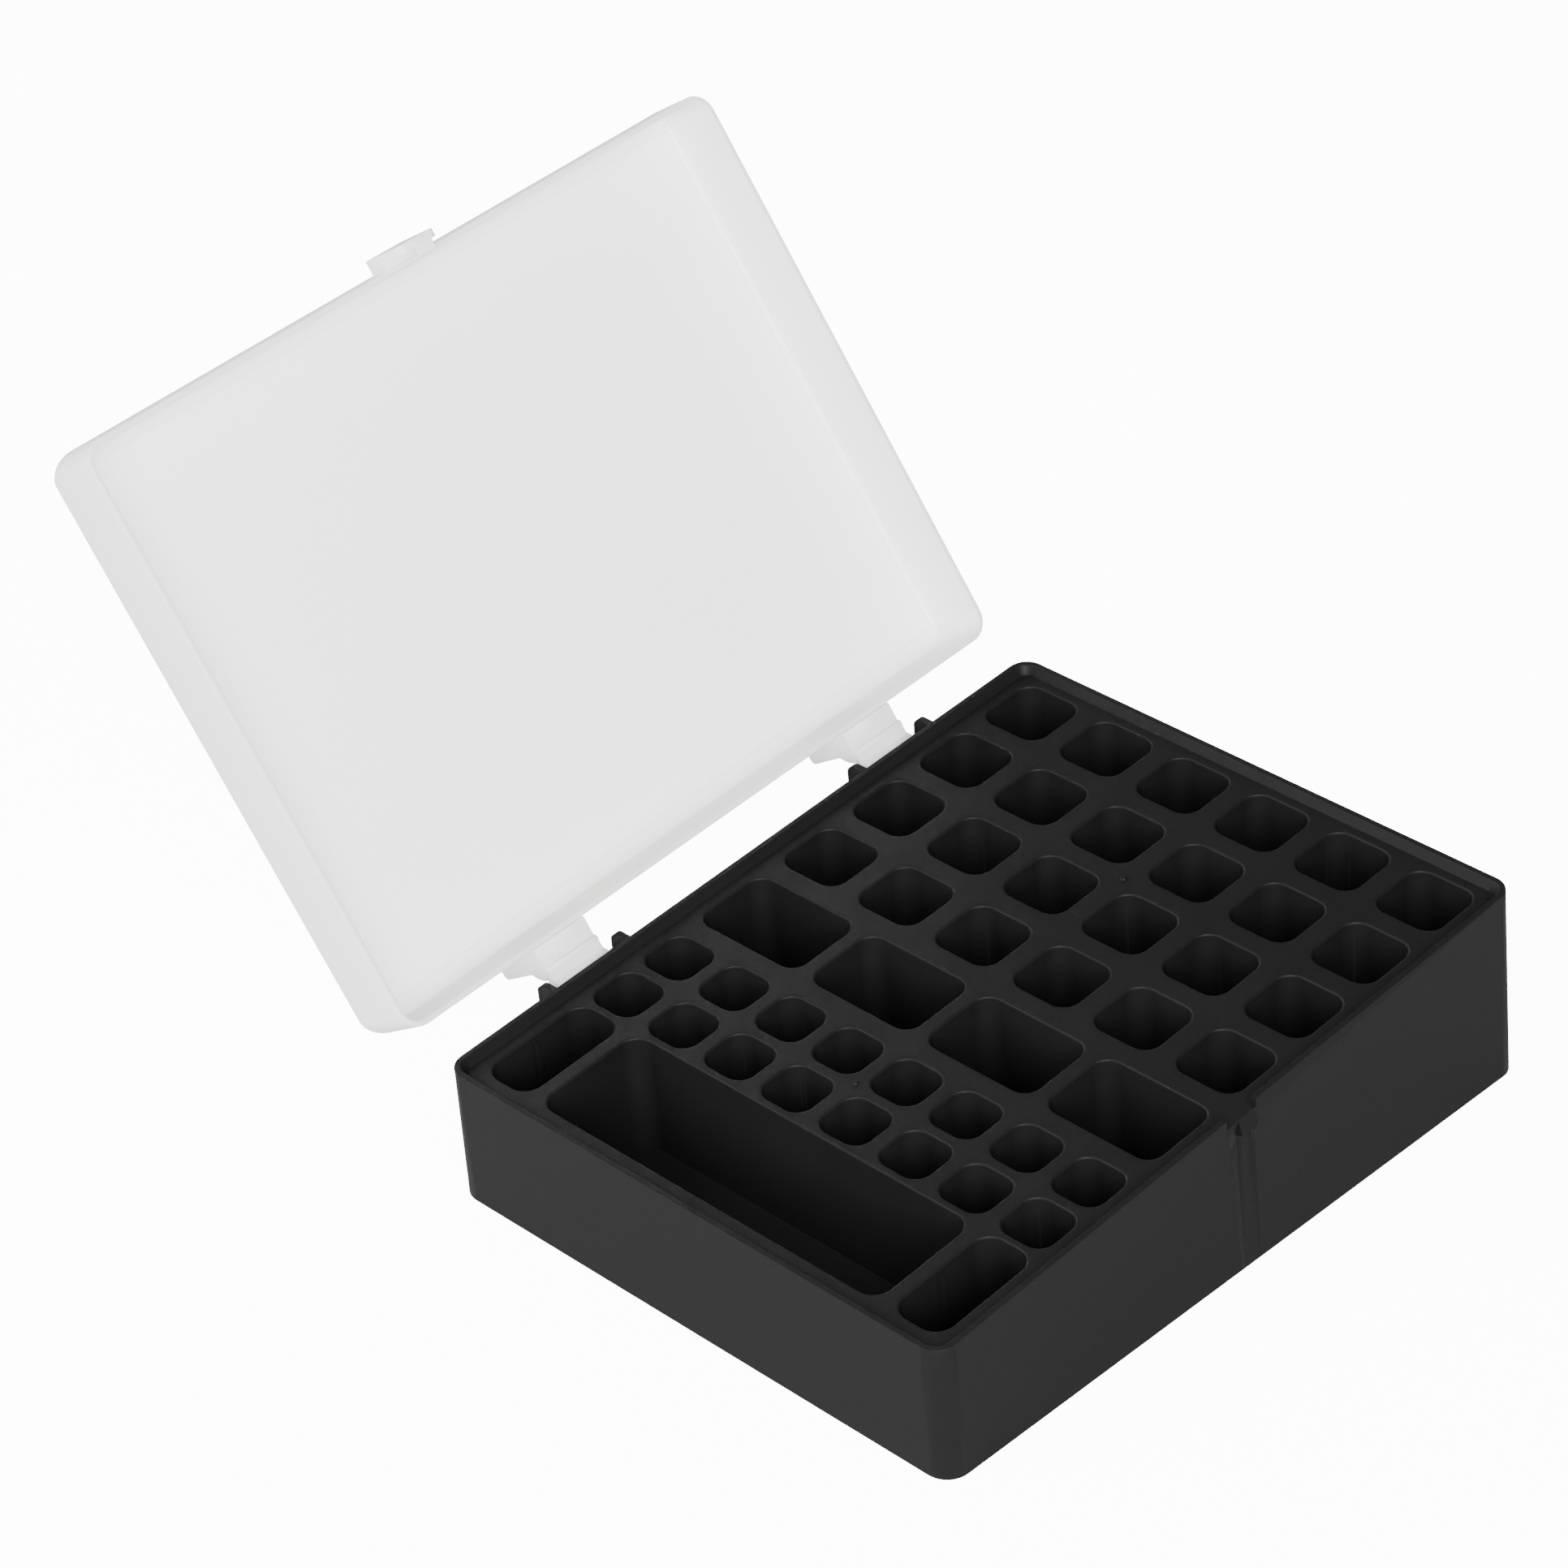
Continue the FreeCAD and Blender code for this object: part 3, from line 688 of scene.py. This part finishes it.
class CASE_OT_lid_shell(bpy.types.Operator):
    """Make the frosted lid's shell, with its long edges rounder than its ends"""

    bl_idname = "case.lid_shell"
    bl_label = "Lid Shell"

    def execute(self, context):
        points, faces = lid_surface(context.scene.case_lid)
        piece = mesh_piece("frosted_lid", placed_at_hinge(points, lid_matrix()), faces)
        piece.data.materials.append(finish_material("frosted_plastic"))
        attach(piece, "lid")
        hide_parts("lid_shell")
        return {"FINISHED"}


# ---- gate marks on the deck ----
def gate_surface(radius, height):
    """A low button with a sunk middle, closed by a flat foot below the deck.

    With q = r / R its top is h (1 - q^6) less a dimple of 0.45 h exp(-(3.2 q)^2)."""
    reach = np.linspace(0, 1, GATE_RINGS)[1:, None]
    angle = np.linspace(0, 2 * np.pi, GATE_AROUND, endpoint=False)[None, :]
    dimple = DIMPLE_DEPTH * height * np.exp(-((DIMPLE_REACH * reach) ** 2))
    level = height * (1 - reach**GATE_FLATNESS) - dimple
    x = radius * reach * np.cos(angle)
    y = radius * reach * np.sin(angle)
    rings = np.stack([x, y, level * np.ones_like(angle)], axis=-1)
    depth = GATE_FOOT * height
    foot = rings[-1:] * np.array([1.0, 1.0, 0.0]) - np.array([0.0, 0.0, depth])
    rings = np.concatenate([rings, foot])
    poles = np.array([[0.0, 0.0, (1 - DIMPLE_DEPTH) * height], [0.0, 0.0, -depth]])
    count, around = rings.shape[:2]
    faces = ring_faces(count, around)
    faces += fan_faces(count * around, 0, around, True)
    faces += fan_faces(count * around + 1, (count - 1) * around, around, False)
    return np.concatenate([rings.reshape(-1, 3), poles]), faces


def deck_middle(*nodes):
    """The middle of the deck's top over some pockets, from the CAD nodes' own points."""
    cad = np.concatenate([seen_from_hinge(node_points(name), slope_matrix()) for name in nodes])
    middle = (cad.min(axis=0) + cad.max(axis=0)) / 2
    return np.array([middle[0], middle[1], cad[:, 2].max()])


class CASE_OT_gate_marks(bpy.types.Operator):
    """Add the two gate marks where the moulding was fed, in the middle of two pocket fields"""

    bl_idname = "case.gate_marks"
    bl_label = "Gate Marks"

    def execute(self, context):
        sizes = context.scene.case_tray
        points, faces = gate_surface(sizes.gate_radius, sizes.gate_height)
        fields = {
            "gate_mark_low": ("aaa_pockets_front", "aaa_pockets_rear"),
            "gate_mark_high": ("aa_pockets",),
        }
        for name, nodes in fields.items():
            place = deck_middle(*nodes)
            piece = mesh_piece(name, placed_at_hinge(points + place, slope_matrix()), faces)
            piece.data.materials.append(finish_material("matte_black_plastic"))
            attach(piece, "tray")
        return {"FINISHED"}


# ---- the frame's own pieces ----
class CASE_OT_black_mouldings(bpy.types.Operator):
    """Finish the tray's skirt, pockets, ears, bars and keeper in matte black"""

    bl_idname = "case.black_mouldings"
    bl_label = "Black Mouldings"

    def execute(self, context):
        for name in BLACK_NODES:
            rounded = name in ROUNDED_BLACK_NODES
            edge_round = context.scene.case_tray.edge_round if rounded else 0.0
            dress_node(name, "matte_black_plastic", edge_round)
        return {"FINISHED"}


class CASE_OT_frosted_mouldings(bpy.types.Operator):
    """Finish the hinge arms, their feet and the latch tab in frosted plastic"""

    bl_idname = "case.frosted_mouldings"
    bl_label = "Frosted Mouldings"

    def execute(self, context):
        for name in FROSTED_NODES:
            dress_node(name, "frosted_plastic", context.scene.case_lid.fitting_round)
        return {"FINISHED"}


# ---- the studio ----
def area_light(name, power, size, place, target):
    """A square soft light that looks at a point."""
    data = bpy.data.lights.new(name, "AREA")
    data.energy = power
    data.size = size
    light = bpy.data.objects.new(name, data)
    light.location = place
    light.rotation_euler = (Vector(target) - Vector(place)).to_track_quat("-Z", "Y").to_euler()
    bpy.context.scene.collection.objects.link(light)


def seen_directly(nodes, links):
    """One for rays straight from the eye or through the frosted lid, and zero for the rest."""
    path = nodes.new("ShaderNodeLightPath")
    camera, passed = path.outputs["Is Camera Ray"], path.outputs["Is Transmission Ray"]
    return math_node(nodes, links, "MAXIMUM", camera, passed)


def grey(tone):
    """A colour with the same red, green and blue."""
    return (tone, tone, tone)


def floor_material(glow):
    """A pale light table: its glow is seen, but it casts none of it on the case."""
    material, nodes, links, shader = new_material("light_table")
    where = nodes.new("ShaderNodeTexCoord").outputs["Object"]
    fibre = noise_node(nodes, links, where, FIBRE_SCALE, 4.0)
    dark, light = (grey(tone) for tone in TABLE_TONES)
    links.new(mixed_colour(nodes, links, fibre, dark, light), shader.inputs["Base Color"])
    shader.inputs["Roughness"].default_value = 0.9
    shader.inputs["Specular IOR Level"].default_value = 0.1
    lit = mixed_colour(nodes, links, seen_directly(nodes, links), grey(0.0), grey(1.0))
    links.new(lit, shader.inputs["Emission Color"])
    shader.inputs["Emission Strength"].default_value = glow
    return material


def light_backdrop(world, sky, glow):
    """A white surround: the eye sees the table's glow go on past its edge, and the case gets only
    the sky's light."""
    world.use_nodes = True
    nodes, links = world.node_tree.nodes, world.node_tree.links
    backdrop = nodes["Background"]
    shade = mixed_colour(nodes, links, seen_directly(nodes, links), grey(sky), grey(glow))
    links.new(shade, backdrop.inputs["Color"])
    backdrop.inputs["Strength"].default_value = 1.0


def set_camera(studio):
    """A camera that looks along the azimuth and down by the elevation, then rolls about its own
    axis."""
    ahead = Vector(
        (
            -math.sin(studio.azimuth) * math.cos(studio.elevation),
            math.cos(studio.azimuth) * math.cos(studio.elevation),
            -math.sin(studio.elevation),
        )
    )
    data = bpy.data.cameras.new("camera")
    data.lens = studio.lens
    data.sensor_width = 36.0
    data.clip_start = 0.01
    camera = bpy.data.objects.new("camera", data)
    look = ahead.to_track_quat("-Z", "Y").to_matrix().to_4x4()
    turn = look @ Matrix.Rotation(studio.roll, 4, "Z")
    place = Vector(studio.aim) - studio.distance * ahead
    camera.matrix_world = Matrix.Translation(place) @ turn
    bpy.context.scene.collection.objects.link(camera)
    bpy.context.scene.camera = camera


class CASE_OT_stage(bpy.types.Operator):
    """Set the light table, the soft studio lights and the camera"""

    bl_idname = "case.stage"
    bl_label = "Stage"

    def execute(self, context):
        studio = context.scene.case_studio
        reach = TABLE_REACH
        corners = [[-reach, -reach], [reach, -reach], [reach, reach], [-reach, reach]]
        corners = np.array([[x, y, -TABLE_DROP] for x, y in corners])
        floor = mesh_piece("floor", corners, [[0, 1, 2, 3]], smooth=False)
        floor.data.materials.append(floor_material(studio.glow))
        middle = tuple((Vector(CAD_BOX[0]) + Vector(CAD_BOX[1])) / 2)
        for light in LIGHTS:
            area_light(light.name, getattr(studio, light.power), light.size, light.place, middle)
        world = context.scene.world or bpy.data.worlds.new("studio")
        context.scene.world = world
        light_backdrop(world, studio.sky, studio.glow)
        set_camera(studio)
        return {"FINISHED"}


class CASE_PT_panel(bpy.types.Panel):
    """Settings and steps of the battery case"""

    bl_idname = "CASE_PT_panel"
    bl_label = "Battery Case"
    bl_space_type = "VIEW_3D"
    bl_region_type = "UI"
    bl_category = "Battery Case"

    def draw(self, context):
        layout = self.layout
        scene = context.scene
        for title, group in (
            ("Finish", scene.case_looks),
            ("Lid", scene.case_lid),
            ("Tray", scene.case_tray),
            ("Studio", scene.case_studio),
        ):
            box = layout.box()
            box.label(text=title)
            for name in group.bl_rna.properties.keys():
                if name not in ("rna_type", "name"):
                    box.prop(group, name)
        for step in STEPS:
            layout.operator(step.bl_idname)


SETTINGS = {
    "case_looks": CaseLooks,
    "case_lid": LidSizes,
    "case_tray": TraySizes,
    "case_studio": StudioSettings,
}
STEPS = (
    CASE_OT_black_mouldings,
    CASE_OT_frosted_mouldings,
    CASE_OT_lid_shell,
    CASE_OT_gate_marks,
    CASE_OT_stage,
)
CLASSES = (*SETTINGS.values(), *STEPS, CASE_PT_panel)


def register():
    for cls in CLASSES:
        bpy.utils.register_class(cls)
    for name, group in SETTINGS.items():
        setattr(bpy.types.Scene, name, bpy.props.PointerProperty(type=group))


def unregister():
    for name in SETTINGS:
        delattr(bpy.types.Scene, name)
    for cls in reversed(CLASSES):
        bpy.utils.unregister_class(cls)


def main():
    register()
    bpy.ops.case.black_mouldings()
    bpy.ops.case.frosted_mouldings()
    bpy.ops.case.lid_shell()
    bpy.ops.case.gate_marks()
    bpy.ops.case.stage()


if __name__ == "__main__":
    main()
